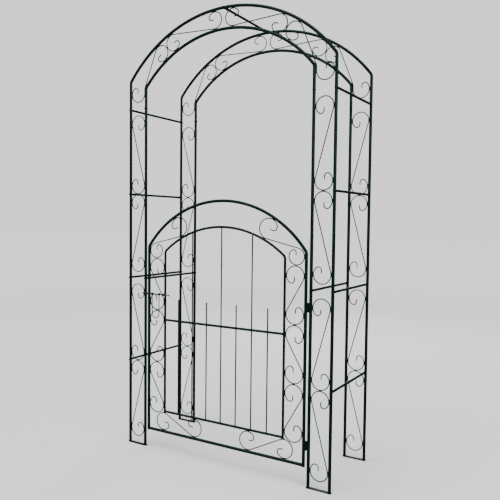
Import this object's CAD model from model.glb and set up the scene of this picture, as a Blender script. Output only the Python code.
"""Looks of the garden arch and its gate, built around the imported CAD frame. Lengths are in metres."""

import math
import random

import bmesh
import bpy
import numpy as np
from mathutils import Matrix, Vector, noise
from mathutils.bvhtree import BVHTree


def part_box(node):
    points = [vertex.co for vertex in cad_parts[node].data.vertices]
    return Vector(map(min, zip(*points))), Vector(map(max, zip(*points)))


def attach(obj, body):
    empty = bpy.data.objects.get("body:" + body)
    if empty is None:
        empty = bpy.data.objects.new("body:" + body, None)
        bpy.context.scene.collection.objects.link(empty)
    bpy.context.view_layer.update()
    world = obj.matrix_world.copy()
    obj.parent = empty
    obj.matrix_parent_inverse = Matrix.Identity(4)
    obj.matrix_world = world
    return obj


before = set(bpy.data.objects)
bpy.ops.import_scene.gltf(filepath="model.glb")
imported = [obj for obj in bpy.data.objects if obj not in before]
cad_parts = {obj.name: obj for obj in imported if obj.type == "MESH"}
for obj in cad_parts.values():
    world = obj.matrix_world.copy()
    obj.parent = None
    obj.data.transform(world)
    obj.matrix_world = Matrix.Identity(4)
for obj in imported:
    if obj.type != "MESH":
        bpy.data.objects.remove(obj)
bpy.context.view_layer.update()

MM = 0.001
LEGS = ("front_left", "front_right", "back_left", "back_right")
HALVES = ("lower", "upper")


def middle(node):
    """Middle of a CAD node's box."""
    low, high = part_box(node)
    return (low + high) / 2


def radius_of(node):
    """Radius of the tube or rod that a CAD node in one upright plane is made of."""
    low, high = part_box(node)
    return (high.y - low.y) / 2


def post_x(node, side):
    """Place across the arch of a hoop's upright. side is -1 left and 1 right."""
    low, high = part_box(node)
    return (high if side > 0 else low).x - side * radius_of(node)


OUT_X = Vector((1, 0, 0))
ACROSS = Vector((0, 1, 0))  # out of the plane that every panel lies in
UP = Vector((0, 0, 1))
LEG_POST = middle("front_right_lower_inner_tube").x
GATE_Y = middle("gate_bottom_rail").y
GUIDED_HOOPS = ("gate_outer_hoop", "gate_inner_hoop")  # those that carry the bolt's sleeves
SLEEVES_X = (-LEG_POST, *(post_x(hoop, -1) for hoop in GUIDED_HOOPS))


# ---------- camera, floor and light ----------

CAMERA_AT = Vector((1.587, -2.593, 1.187))
CAMERA_YAW = math.radians(30.99)      # turned left from looking along +Y
CAMERA_PITCH = math.radians(-2.725)
CAMERA_ROLL = math.radians(0.626)
CAMERA_LENS = 42.92                   # mm, on a 36 mm sensor


def add_camera():
    """Camera at the height and angle of the reference view."""
    ahead = Vector((-math.sin(CAMERA_YAW) * math.cos(CAMERA_PITCH),
                    math.cos(CAMERA_YAW) * math.cos(CAMERA_PITCH),
                    math.sin(CAMERA_PITCH)))
    level = Vector((math.cos(CAMERA_YAW), math.sin(CAMERA_YAW), 0))
    upward = level.cross(ahead)
    right = math.cos(CAMERA_ROLL) * level + math.sin(CAMERA_ROLL) * upward
    up = right.cross(ahead)
    data = bpy.data.cameras.new("camera")
    data.lens = CAMERA_LENS
    data.sensor_width = 36
    camera = bpy.data.objects.new("camera", data)
    bpy.context.scene.collection.objects.link(camera)
    turn = Matrix((right, up, -ahead)).transposed().to_4x4()
    camera.matrix_world = Matrix.Translation(CAMERA_AT) @ turn
    bpy.context.scene.camera = camera


def add_area_light(name, at, target, size, power):
    data = bpy.data.lights.new(name, "AREA")
    data.shape = "DISK"
    data.size = size
    data.energy = power
    light = bpy.data.objects.new(name, data)
    bpy.context.scene.collection.objects.link(light)
    light.location = at
    light.rotation_euler = (Vector(target) - Vector(at)).to_track_quat("-Z", "Y").to_euler()


FLOOR_HALF = 40
FLOOR_NEAR = 0.71     # tone of the floor under the arch, where the studio lights reach it too
FLOOR_FAR = 0.92      # tone of the floor from FADE_END metres on
FADE_START = 1.5
FADE_END = 9.0
SKY_SEEN = 1.25       # brightness of the backdrop itself
SKY_LIGHT = 0.10      # brightness of the light that comes from it


def add_floor():
    mesh = bpy.data.meshes.new("floor")
    corners = [(-FLOOR_HALF, -FLOOR_HALF, 0), (FLOOR_HALF, -FLOOR_HALF, 0),
               (FLOOR_HALF, FLOOR_HALF, 0), (-FLOOR_HALF, FLOOR_HALF, 0)]
    mesh.from_pydata(corners, [], [(0, 1, 2, 3)])
    floor = bpy.data.objects.new("floor", mesh)
    bpy.context.scene.collection.objects.link(floor)
    paint = Nodes("floor_paint")
    distance = paint.tree.nodes.new("ShaderNodeVectorMath")
    distance.operation = "LENGTH"
    paint.link(paint.place, distance.inputs[0])
    tone = paint.spread(distance.outputs["Value"], FADE_START, FADE_END, FLOOR_NEAR, FLOOR_FAR)
    paint.link(tone, paint.shader.inputs["Base Color"])
    paint.shader.inputs["Roughness"].default_value = 0.9
    mesh.materials.append(paint.material)
    floor.visible_glossy = False


def add_sky():
    """Pale backdrop that is brighter to look at than the light it gives."""
    world = bpy.data.worlds.new("studio")
    world.use_nodes = True
    tree = world.node_tree
    seen = tree.nodes["Background"]
    seen.inputs["Color"].default_value = (1, 1, 1, 1)
    seen.inputs["Strength"].default_value = SKY_SEEN
    light = tree.nodes.new("ShaderNodeBackground")
    light.inputs["Color"].default_value = (1, 1, 1, 1)
    light.inputs["Strength"].default_value = SKY_LIGHT
    path = tree.nodes.new("ShaderNodeLightPath")
    mix = tree.nodes.new("ShaderNodeMixShader")
    tree.links.new(path.outputs["Is Camera Ray"], mix.inputs[0])
    tree.links.new(light.outputs[0], mix.inputs[1])
    tree.links.new(seen.outputs[0], mix.inputs[2])
    tree.links.new(mix.outputs[0], tree.nodes["World Output"].inputs["Surface"])
    bpy.context.scene.world = world


def add_sun():
    """Broad, soft light from high above, which keeps the whole floor evenly pale."""
    data = bpy.data.lights.new("overhead_light", "SUN")
    data.angle = math.radians(50)
    data.energy = 4.4
    light = bpy.data.objects.new("overhead_light", data)
    bpy.context.scene.collection.objects.link(light)
    light.rotation_euler = (math.radians(12), math.radians(-10), 0)


def add_lights():
    chest = (0, 0, 1.2)
    add_sun()
    add_area_light("key_light", (3.6, -2.0, 2.6), chest, 1.6, 110)
    add_area_light("fill_light", (-3.4, -3.0, 2.4), chest, 1.6, 50)
    add_area_light("back_light", (-1.0, 3.8, 3.2), chest, 1.8, 70)


# ---------- materials ----------

class Nodes:
    """Short way to write a material's node tree."""

    def __init__(self, name):
        self.material = bpy.data.materials.new(name)
        self.material.use_nodes = True
        self.tree = self.material.node_tree
        self.shader = self.tree.nodes["Principled BSDF"]
        self.place = self.tree.nodes.new("ShaderNodeTexCoord").outputs["Object"]

    def link(self, source, target):
        self.tree.links.new(source, target)

    def noise(self, grain, detail=2.0, roughness=0.5):
        """Noise whose lumps are about grain metres across."""
        node = self.tree.nodes.new("ShaderNodeTexNoise")
        node.inputs["Scale"].default_value = 1 / grain
        node.inputs["Detail"].default_value = detail
        node.inputs["Roughness"].default_value = roughness
        self.link(self.place, node.inputs["Vector"])
        return node.outputs["Fac"]

    def spread(self, source, low, high, to_low=0.0, to_high=1.0):
        """Stretches the band from low to high over to_low to to_high."""
        node = self.tree.nodes.new("ShaderNodeMapRange")
        for socket, value in (("From Min", low), ("From Max", high),
                              ("To Min", to_low), ("To Max", to_high)):
            node.inputs[socket].default_value = value
        self.link(source, node.inputs["Value"])
        return node.outputs["Result"]

    def streaks(self, length, width):
        """Noise drawn out along X."""
        node = self.tree.nodes.new("ShaderNodeVectorMath")
        node.operation = "MULTIPLY"
        node.inputs[1].default_value = (1 / length, 1 / width, 1 / width)
        self.link(self.place, node.inputs[0])
        noise_node = self.tree.nodes.new("ShaderNodeTexNoise")
        noise_node.inputs["Scale"].default_value = 1
        self.link(node.outputs["Vector"], noise_node.inputs["Vector"])
        return noise_node.outputs["Fac"]

    def math(self, operation, a, b):
        node = self.tree.nodes.new("ShaderNodeMath")
        node.operation = operation
        for socket, value in zip(node.inputs, (a, b)):
            if isinstance(value, (int, float)):
                socket.default_value = value
            else:
                self.link(value, socket)
        return node.outputs[0]

    def mix(self, factor, a, b):
        """Number that goes from a to b."""
        node = self.tree.nodes.new("ShaderNodeMix")
        self.link(factor, node.inputs["Factor"])
        for socket, value in ((node.inputs[2], a), (node.inputs[3], b)):
            if isinstance(value, (int, float)):
                socket.default_value = value
            else:
                self.link(value, socket)
        return node.outputs[0]

    def blend(self, factor, a, b):
        """Colour that goes from a to b."""
        node = self.tree.nodes.new("ShaderNodeMix")
        node.data_type = "RGBA"
        self.link(factor, node.inputs["Factor"])
        for socket, value in ((node.inputs[6], a), (node.inputs[7], b)):
            if isinstance(value, tuple):
                socket.default_value = (*value, 1)
            else:
                self.link(value, socket)
        return node.outputs[2]

    def bump(self, height, strength, depth, under=None):
        node = self.tree.nodes.new("ShaderNodeBump")
        node.inputs["Strength"].default_value = strength
        node.inputs["Distance"].default_value = depth
        self.link(height, node.inputs["Height"])
        if under is not None:
            self.link(under, node.inputs["Normal"])
        return node.outputs["Normal"]


DEEP_GREEN = (0.0013, 0.0056, 0.0044)
LIGHT_GREEN = (0.0028, 0.0112, 0.0090)
CHALK = (0.026, 0.043, 0.038)         # dust that settles in the coat's pores
BARE_STEEL = (0.20, 0.21, 0.21)
GREEN_GLINT = (0.55, 1.0, 0.88, 1)
EDGE_WIDTH = 0.35 * MM                # how far a scuff reaches from an edge
RUB_REACH = 19 * MM                   # how far to each side of a sleeve the bolt is rubbed


def edge_scuffs(n):
    """Patches along the sharp edges, where a spanner has worn the coat."""
    bevel = n.tree.nodes.new("ShaderNodeBevel")
    bevel.inputs["Radius"].default_value = EDGE_WIDTH
    sharp = n.tree.nodes.new("ShaderNodeVectorMath")
    sharp.operation = "DOT_PRODUCT"
    n.link(bevel.outputs["Normal"], sharp.inputs[0])
    n.link(n.tree.nodes.new("ShaderNodeNewGeometry").outputs["Normal"], sharp.inputs[1])
    edge = n.spread(sharp.outputs["Value"], 0.90, 0.99, 1.0, 0.0)
    return n.math("MULTIPLY", edge, n.spread(n.noise(1.6 * MM, 3.0), 0.50, 0.62))


def sleeve_rubs(n):
    """Streaks along the bolt on both sides of the places where it runs in sleeves."""
    place = n.tree.nodes.new("ShaderNodeSeparateXYZ")
    n.link(n.place, place.inputs[0])
    rubbed = 0.0
    for x in SLEEVES_X:
        offset = n.math("ABSOLUTE", n.math("SUBTRACT", place.outputs["X"], x), 0.0)
        rubbed = n.math("MAXIMUM", rubbed, n.spread(offset, 0.75 * RUB_REACH, RUB_REACH, 1.0, 0.0))
    return n.math("MULTIPLY", rubbed, n.spread(n.streaks(14 * MM, 0.7 * MM), 0.47, 0.62))


def powder_coat(name, peel_depth=0.06 * MM, worn=None):
    """Satin dark green powder coat with its orange peel, pigment grain and a little dust.
    worn tells where it has worn down to the steel."""
    n = Nodes(name)
    tone = n.spread(n.noise(38 * MM, 3.0), 0.30, 0.70)
    colour = n.blend(tone, DEEP_GREEN, LIGHT_GREEN)
    grain = n.spread(n.noise(0.5 * MM, 1.0), 0.62, 0.80, 0.0, 0.40)
    colour = n.blend(grain, colour, CHALK)
    gloss = n.spread(n.noise(14 * MM, 2.0), 0.25, 0.75, 0.30, 0.46)
    if worn is not None:
        bare = worn(n)
        colour = n.blend(bare, colour, BARE_STEEL)
        gloss = n.mix(bare, gloss, n.spread(n.noise(0.8 * MM, 2.0), 0.3, 0.7, 0.28, 0.50))
        n.link(bare, n.shader.inputs["Metallic"])
    n.link(colour, n.shader.inputs["Base Color"])
    n.link(gloss, n.shader.inputs["Roughness"])
    n.shader.inputs["Specular IOR Level"].default_value = 0.14
    n.shader.inputs["Specular Tint"].default_value = GREEN_GLINT
    slow = n.bump(n.noise(4.5 * MM, 1.0), 0.5, 1.5 * peel_depth)
    peel = n.bump(n.noise(1.1 * MM, 2.0), 0.6, peel_depth, slow)
    n.link(peel, n.shader.inputs["Normal"])
    return n.material


# ---------- welds ----------

RIPPLE = 1.8 * MM          # from one ripple of a weld to the next
RIPPLE_DEPTH = 0.07        # as a share of the bead's radius
LUMP = 2.5 * MM            # size of a weld's uneven lumps
LUMP_DEPTH = 0.16          # as a share of the bead's radius
RING_STEP = 0.75 * MM      # from one ring of a weld's mesh to the next
BEAD_SIDES = 7
HEEL_SPREAD = math.radians(60)  # to each side, of the bead round an upright's foot
TACK_RADIUS = 1.35 * MM
TACK_LENGTH = 9.0 * MM
TACK_OFFSET = 1.7 * MM     # from the middle of two touching wires out to the groove on either face
SEAM_RADIUS = 1.2 * MM
REACH = 0.25 * MM          # surfaces closer than this count as touching
SAMPLE_STEP = 1.5 * MM
SAME_POINT = 0.001 * MM
CONTACT_BREAK = 8 * MM     # samples further apart belong to two contacts
LONG_CONTACT = 25 * MM     # a longer contact is tacked at both ends
dice = random.Random(7)


class Beads:
    """Collects weld beads in one mesh."""

    def __init__(self):
        self.mesh = bmesh.new()

    def run(self, path, radius, closed=False):
        """One bead along a path, rippled, and tapered at the ends if it has any."""
        count = len(path)
        phase = dice.uniform(0, 2 * math.pi)
        across = None
        rings = []
        length = 0.0
        for i, point in enumerate(path):
            if i:
                length += (point - path[i - 1]).length
            before = path[i - 1] if closed or i else point
            after = path[(i + 1) % count] if closed or i < count - 1 else point
            ahead = (after - before).normalized()
            if across is None:
                across = ahead.orthogonal()
            across = (across - ahead * across.dot(ahead)).normalized()
            third = ahead.cross(across)
            size = 1 + RIPPLE_DEPTH * math.cos(2 * math.pi * length / RIPPLE + phase)
            size += LUMP_DEPTH * noise.noise(point / LUMP)
            if not closed:
                share = (i + 0.5) / count
                size *= math.sqrt(max(1 - (2 * share - 1) ** 4, 0.05))
            ring = []
            for k in range(BEAD_SIDES):
                angle = 2 * math.pi * k / BEAD_SIDES
                way = math.cos(angle) * across + math.sin(angle) * third
                ring.append(self.mesh.verts.new(point + radius * size * way))
            rings.append(ring)
        pairs = list(zip(rings, rings[1:]))
        if closed:
            pairs.append((rings[-1], rings[0]))
        for ring, following in pairs:
            for k in range(BEAD_SIDES):
                after = (k + 1) % BEAD_SIDES
                self.mesh.faces.new((ring[k], ring[after], following[after], following[k]))
        if not closed:
            self.mesh.faces.new(rings[0][::-1])
            self.mesh.faces.new(rings[-1])

    def straight(self, start, end, radius):
        steps = max(4, round((end - start).length / RING_STEP))
        self.run([start.lerp(end, i / steps) for i in range(steps + 1)], radius)

    def tack(self, at, along):
        """A short bead in the groove on each face of two touching pieces."""
        for face in (-1, 1):
            half = along * TACK_LENGTH * dice.uniform(0.40, 0.58)
            mid = at + face * TACK_OFFSET * ACROSS + along * MM * dice.uniform(-1, 1)
            self.straight(mid - half, mid + half, TACK_RADIUS * dice.uniform(0.9, 1.12))

    def saddle(self, at, out, post, end_radius, post_radius, radius=SEAM_RADIUS):
        """Bead round the end of a bar that meets a post. at is on the post's axis,
        out is the bar's direction and post is the post's."""
        side = out.cross(post)
        steps = round(2 * math.pi * end_radius / RING_STEP)
        path = []
        for i in range(steps):
            angle = 2 * math.pi * i / steps
            sideways = end_radius * math.sin(angle)
            depth = math.sqrt(max(post_radius ** 2 - sideways ** 2, 0))
            path.append(at + depth * out + sideways * side + end_radius * math.cos(angle) * post)
        self.run(path, radius, closed=True)

    def collar(self, at, ring_radius, radius):
        """Level bead round an upright bar."""
        steps = round(2 * math.pi * ring_radius / RING_STEP)
        angles = [2 * math.pi * i / steps for i in range(steps)]
        self.run([at + Vector((ring_radius * math.cos(a), ring_radius * math.sin(a), 0)) for a in angles],
                 radius, closed=True)

    def heel(self, at, toward, post_radius):
        """Level bead round the side of an upright's foot that faces along X, where toward is 1 or -1."""
        steps = round(2 * HEEL_SPREAD * post_radius / RING_STEP)
        path = []
        for i in range(steps + 1):
            angle = HEEL_SPREAD * (2 * i / steps - 1)
            path.append(at + post_radius * Vector((toward * math.cos(angle), math.sin(angle), 0)))
        self.run(path, SEAM_RADIUS)

    def finish(self, name, body, material):
        bmesh.ops.recalc_face_normals(self.mesh, faces=self.mesh.faces)
        data = bpy.data.meshes.new(name)
        self.mesh.to_mesh(data)
        self.mesh.free()
        data.shade_smooth()
        data.materials.append(material)
        piece = bpy.data.objects.new(name, data)
        bpy.context.scene.collection.objects.link(piece)
        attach(piece, body)
        return piece


class Solid:
    """One connected solid of a CAD node, with samples along its edges and a search tree."""

    def __init__(self, points, edges, faces):
        self.tree = BVHTree.FromPolygons(points, faces)
        ends = np.array([[points[a], points[b]] for a, b in edges])
        steps = np.ceil(np.linalg.norm(ends[:, 1] - ends[:, 0], axis=1) / SAMPLE_STEP).astype(int)
        runs = []
        for count in np.unique(steps):
            shares = np.arange(count + 1)[:, None, None] / count
            start, end = ends[steps == count, 0], ends[steps == count, 1]
            runs.append((start * (1 - shares) + end * shares).reshape(-1, 3))
        self.samples = np.concatenate(runs)
        self.low = self.samples.min(0) - REACH
        self.high = self.samples.max(0) + REACH

    def contacts(self, other):
        """Where this solid touches another, as points and directions along the contact."""
        low, high = np.maximum(self.low, other.low), np.minimum(self.high, other.high)
        if (low > high).any():
            return []
        inside = ((self.samples >= low) & (self.samples <= high)).all(1)
        points, normals = [], []
        for sample in self.samples[inside]:
            hit, normal, _, _ = other.tree.find_nearest(Vector(sample), REACH)
            if hit is not None:
                points.append((Vector(sample) + hit) / 2)
                normals.append(normal)
        if not points:
            return []
        points, normals = np.array(points), np.array(normals)
        spread = points - points.mean(0)
        axis = np.linalg.svd(spread, full_matrices=False)[2][0]
        distance = spread @ axis
        order = np.argsort(distance)
        cuts = np.flatnonzero(np.diff(distance[order]) > CONTACT_BREAK) + 1
        found = []
        for group in np.split(order, cuts):
            if np.ptp(distance[group]) > LONG_CONTACT:
                tenth = max(1, len(group) // 10)
                found += [group[:tenth], group[-tenth:]]
            else:
                found.append(group)
        places = []
        for group in found:
            at = Vector(points[group].mean(0))
            normal = Vector(normals[group].mean(0))
            places.append((at, normal.cross(ACROSS).normalized()))
        return places


def solids_of(node):
    """The connected solids of a CAD node."""
    mesh = bmesh.new()
    mesh.from_mesh(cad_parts[node].data)
    bmesh.ops.remove_doubles(mesh, verts=mesh.verts, dist=SAME_POINT)
    mesh.verts.index_update()
    label = [-1] * len(mesh.verts)
    count = 0
    for first in mesh.verts:
        if label[first.index] >= 0:
            continue
        label[first.index] = count
        reached = [first]
        for vert in reached:
            for edge in vert.link_edges:
                neighbour = edge.other_vert(vert)
                if label[neighbour.index] < 0:
                    label[neighbour.index] = count
                    reached.append(neighbour)
        count += 1
    points = [vert.co.copy() for vert in mesh.verts]
    edges = [[] for _ in range(count)]
    for edge in mesh.edges:
        edges[label[edge.verts[0].index]].append([vert.index for vert in edge.verts])
    faces = [[] for _ in range(count)]
    for face in mesh.faces:
        faces[label[face.verts[0].index]].append([vert.index for vert in face.verts])
    mesh.free()
    return [Solid(points, edges[i], faces[i]) for i in range(count)]


def add_tacks(beads, wires, tubes):
    """Tacks wherever a solid of the wire nodes touches another or a tube."""
    wire_solids = [solid for node in wires for solid in solids_of(node)]
    tube_solids = [solid for node in tubes for solid in solids_of(node)]
    for i, solid in enumerate(wire_solids):
        for other in wire_solids[i + 1:] + tube_solids:
            for at, along in solid.contacts(other):
                beads.tack(at, along)


def leg_welds(leg):
    beads = Beads()
    tubes = [f"{leg}_{half}_{place}_tube" for half in HALVES for place in ("outer", "inner")]
    add_tacks(beads, [f"{leg}_{half}_scrolls" for half in HALVES], tubes)
    foot = f"{leg}_foot_bar"
    for place in ("outer", "inner"):
        tube = f"{leg}_lower_{place}_tube"
        at = middle(tube)
        at.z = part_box(foot)[1].z
        beads.heel(at, 1 if middle(foot).x > at.x else -1, radius_of(tube))
    beads.finish(f"{leg}_leg_welds", "arch_frame", WELD)


def crown_welds(face):
    beads = Beads()
    add_tacks(beads, [f"{face}_crown_scrolls"], [f"{face}_outer_hoop", f"{face}_inner_hoop"])
    beads.finish(f"{face}_crown_welds", "arch_frame", WELD)


def gate_scroll_welds():
    beads = Beads()
    wires = ["gate_hinge_side_scrolls", "gate_latch_side_scrolls", "gate_corner_scrolls", "gate_bottom_scrolls"]
    tubes = ["gate_outer_hoop", "gate_inner_hoop", "gate_bottom_rail", "gate_inner_rail"]
    add_tacks(beads, wires, tubes)
    beads.finish("gate_scroll_welds", "gate", WELD)


def gate_rail_welds():
    beads = Beads()
    for rail, hoop in (("gate_bottom_rail", "gate_outer_hoop"), ("gate_inner_rail", "gate_inner_hoop"),
                       ("gate_cross_rail", "gate_inner_hoop")):
        for side in (-1, 1):
            at = middle(rail)
            at.x = post_x(hoop, side)
            beads.saddle(at, -side * OUT_X, UP, radius_of(rail), radius_of(hoop))
    beads.finish("gate_rail_welds", "gate", WELD)


BARS = 7


def gate_bar_welds():
    """Beads at the foot of each bar, where it passes the cross rail, and at the tall bars' tips."""
    beads = Beads()
    bar_radius = radius_of("gate_short_bars")
    left, right = (post_x("gate_inner_hoop", side) for side in (-1, 1))
    for i in range(1, BARS + 1):
        x = left + (right - left) * i / (BARS + 1)
        for rail, ways in (("gate_inner_rail", (1,)), ("gate_cross_rail", (-1, 1))):
            at = middle(rail)
            at.x = x
            for way in ways:
                beads.saddle(at, way * UP, OUT_X, bar_radius, radius_of(rail), 0.8 * SEAM_RADIUS)
    hoop = solids_of("gate_inner_hoop")[0]
    for bar in solids_of("gate_tall_bars"):
        for at, _ in bar.contacts(hoop):
            beads.collar(at, bar_radius, 0.8 * SEAM_RADIUS)
    beads.finish("gate_bar_welds", "gate", WELD)


HINGE_H = 43 * MM
HINGE_WELD_H = 17 * MM
HINGE_GROOVE = 3.1 * MM    # out of the gate's plane to the groove between a post and a hinge
GROOVE_FILL = 1.0 * MM     # from the post's face to the middle of the bead in that groove


def hinge_welds(name, body, post, toward, high_half):
    """Upright beads on both faces, where each half of a hinge meets its post."""
    beads = Beads()
    low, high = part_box("hinge_leg_halves")
    y = middle("hinge_leg_halves").y
    x = post + toward * (math.sqrt(radius_of("gate_outer_hoop") ** 2 - HINGE_GROOVE ** 2) + GROOVE_FILL)
    for middle_z in (low.z + HINGE_H / 2, high.z - HINGE_H / 2):
        z = middle_z + (1 if high_half else -1) * HINGE_H / 4
        for face in (-1, 1):
            at = Vector((x, y + face * HINGE_GROOVE, z))
            beads.straight(at - UP * HINGE_WELD_H / 2, at + UP * HINGE_WELD_H / 2, SEAM_RADIUS)
    beads.finish(name, body, WELD)


SLEEVE_WELD_L = 8 * MM
SLEEVE_GROOVE = (0.7 * MM, 3.2 * MM)  # out from the post's face, and above or below the sleeve's axis


def sleeve_welds(name, body, posts):
    """Beads above and below each sleeve, where it sits on its post. posts are pairs of x and radius."""
    beads = Beads()
    axis_z = middle("latch_keeper").z
    for x, radius in posts:
        for way in (-1, 1):
            at = Vector((x, GATE_Y - radius - SLEEVE_GROOVE[0], axis_z + way * SLEEVE_GROOVE[1]))
            beads.straight(at - OUT_X * SLEEVE_WELD_L / 2, at + OUT_X * SLEEVE_WELD_L / 2, SEAM_RADIUS)
    beads.finish(name, body, WELD)


# ---------- the arch ----------

COAT = powder_coat("green_powder_coat")
WIRE_COAT = powder_coat("wire_powder_coat", 0.035 * MM)
WELD = powder_coat("coated_weld", 0.12 * MM)
SCUFFED = powder_coat("scuffed_coat", 0.05 * MM, edge_scuffs)
RUBBED = powder_coat("rubbed_coat", 0.03 * MM, sleeve_rubs)
SPECIAL = {
    "rung_screws": SCUFFED, "joint_screws": SCUFFED, "joint_nuts": SCUFFED,
    "hinge_leg_halves": SCUFFED, "hinge_gate_halves": SCUFFED,
    "latch_guides": SCUFFED, "latch_keeper": SCUFFED, "latch_bolt": RUBBED
}

for name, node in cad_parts.items():
    usual = WIRE_COAT if "scrolls" in name or "bars" in name else COAT
    node.data.materials.clear()
    node.data.materials.append(SPECIAL.get(name, usual))

for leg in LEGS:
    leg_welds(leg)
for face in ("front", "back"):
    crown_welds(face)
gate_scroll_welds()
gate_rail_welds()
gate_bar_welds()
hinge_welds("hinge_leg_welds", "arch_frame", LEG_POST, -1, high_half=False)
hinge_welds("hinge_gate_welds", "gate", post_x("gate_outer_hoop", 1), 1, high_half=True)
sleeve_welds("latch_guide_welds", "gate", [(post_x(hoop, -1), radius_of(hoop)) for hoop in GUIDED_HOOPS])
sleeve_welds("latch_keeper_welds", "arch_frame", [(-LEG_POST, radius_of("gate_outer_hoop"))])

add_camera()
add_floor()
add_sky()
add_lights()
